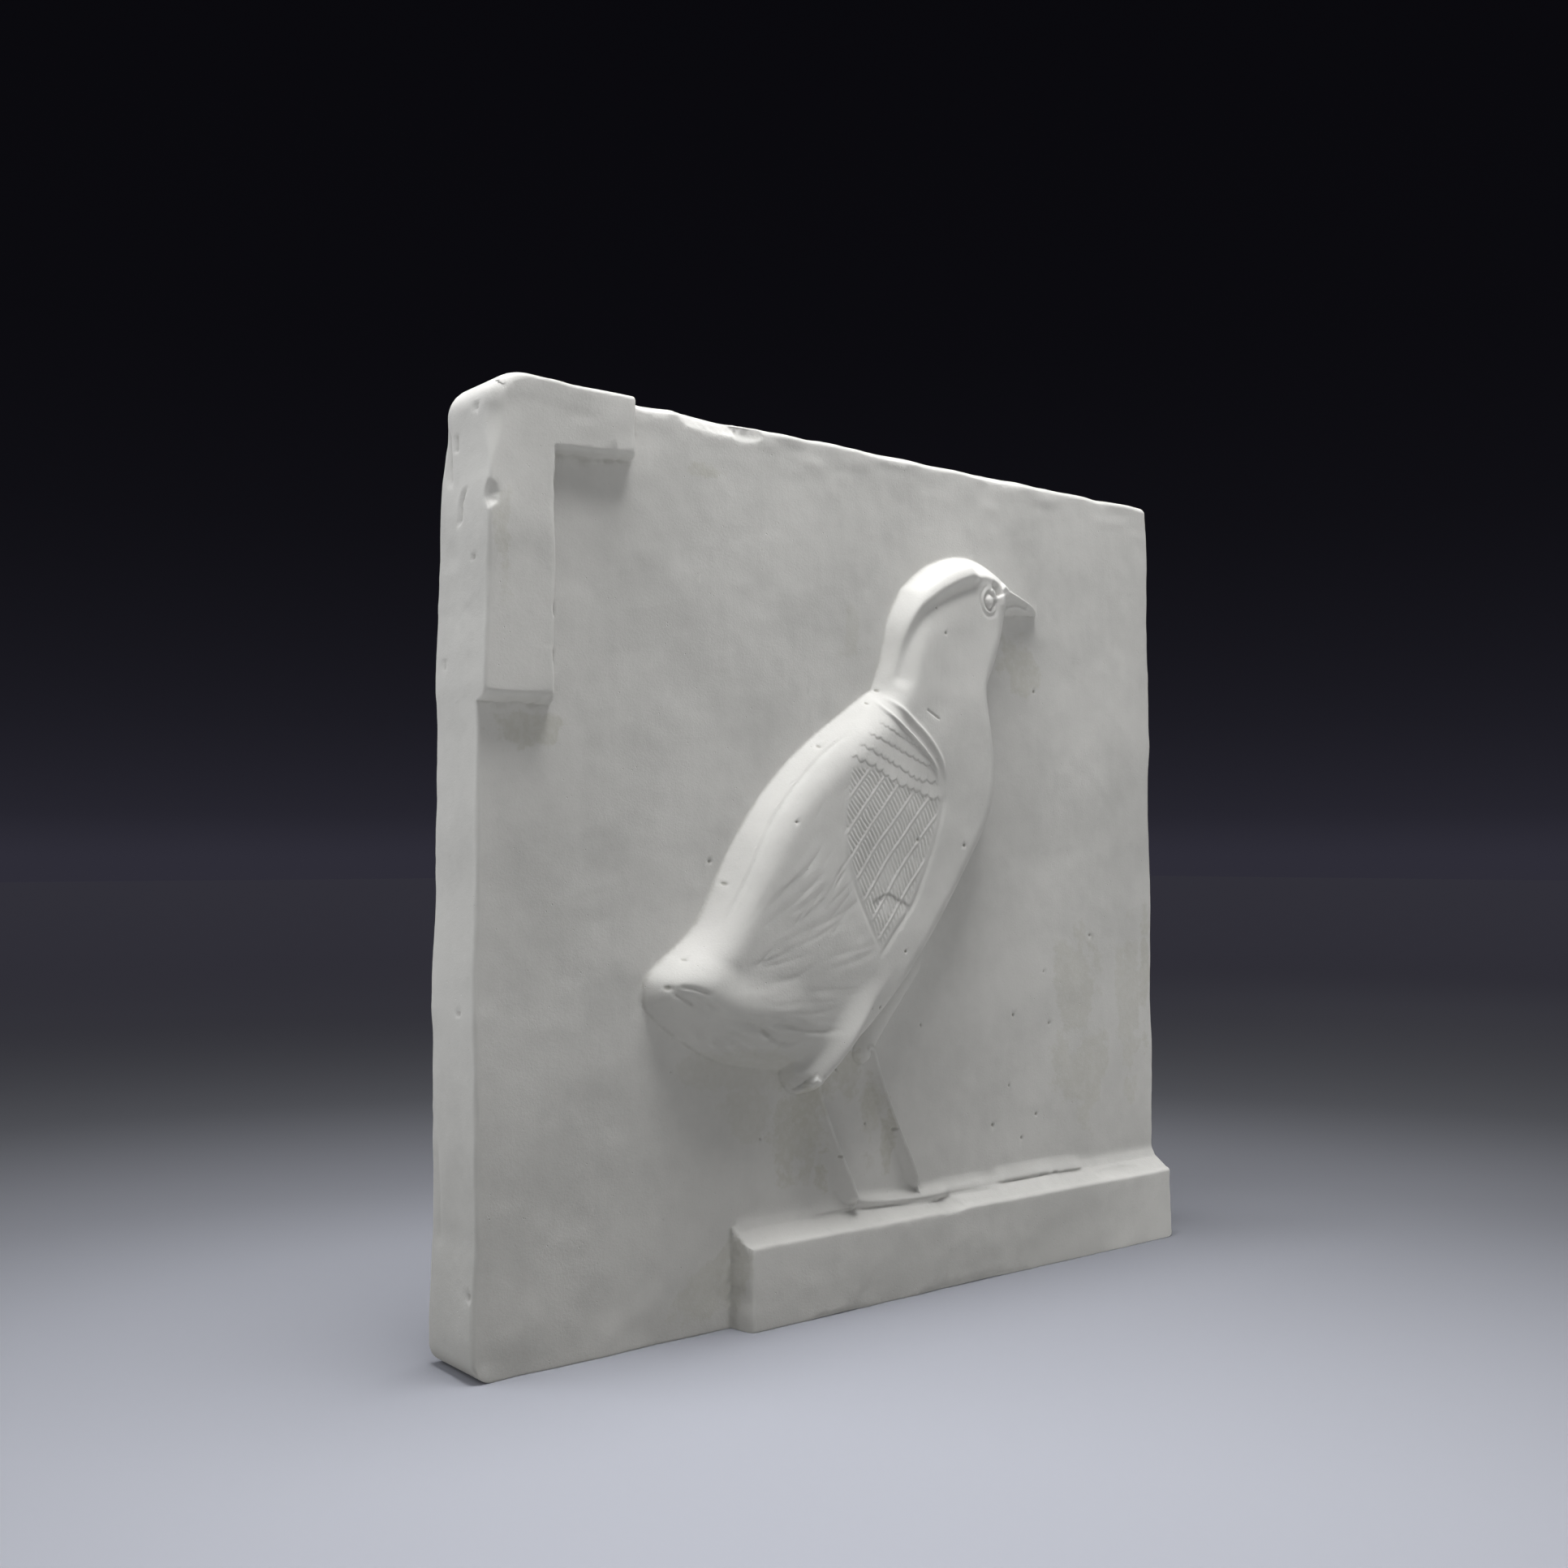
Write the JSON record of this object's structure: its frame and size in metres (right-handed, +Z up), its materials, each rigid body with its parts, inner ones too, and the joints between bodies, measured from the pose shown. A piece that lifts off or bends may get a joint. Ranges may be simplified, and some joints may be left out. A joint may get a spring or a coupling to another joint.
{
  "type": "plaster relief",
  "caption": "Cast plaster plaque with a raised corner band, a ledge and a young bird standing on it in low relief.",
  "frame": {"origin": "middle of the underside of the plaque's box", "axes": "+Z up, +X along the plaque towards the side the bird faces, the carved front faces -Y"},
  "size_m": [0.188, 0.0262, 0.1801],
  "materials": {
    "plaster": "matt white gypsum plaster"
  },
  "bodies": {
    "root": {"relief_plaque": "plaster"}
  },
  "joints": []
}
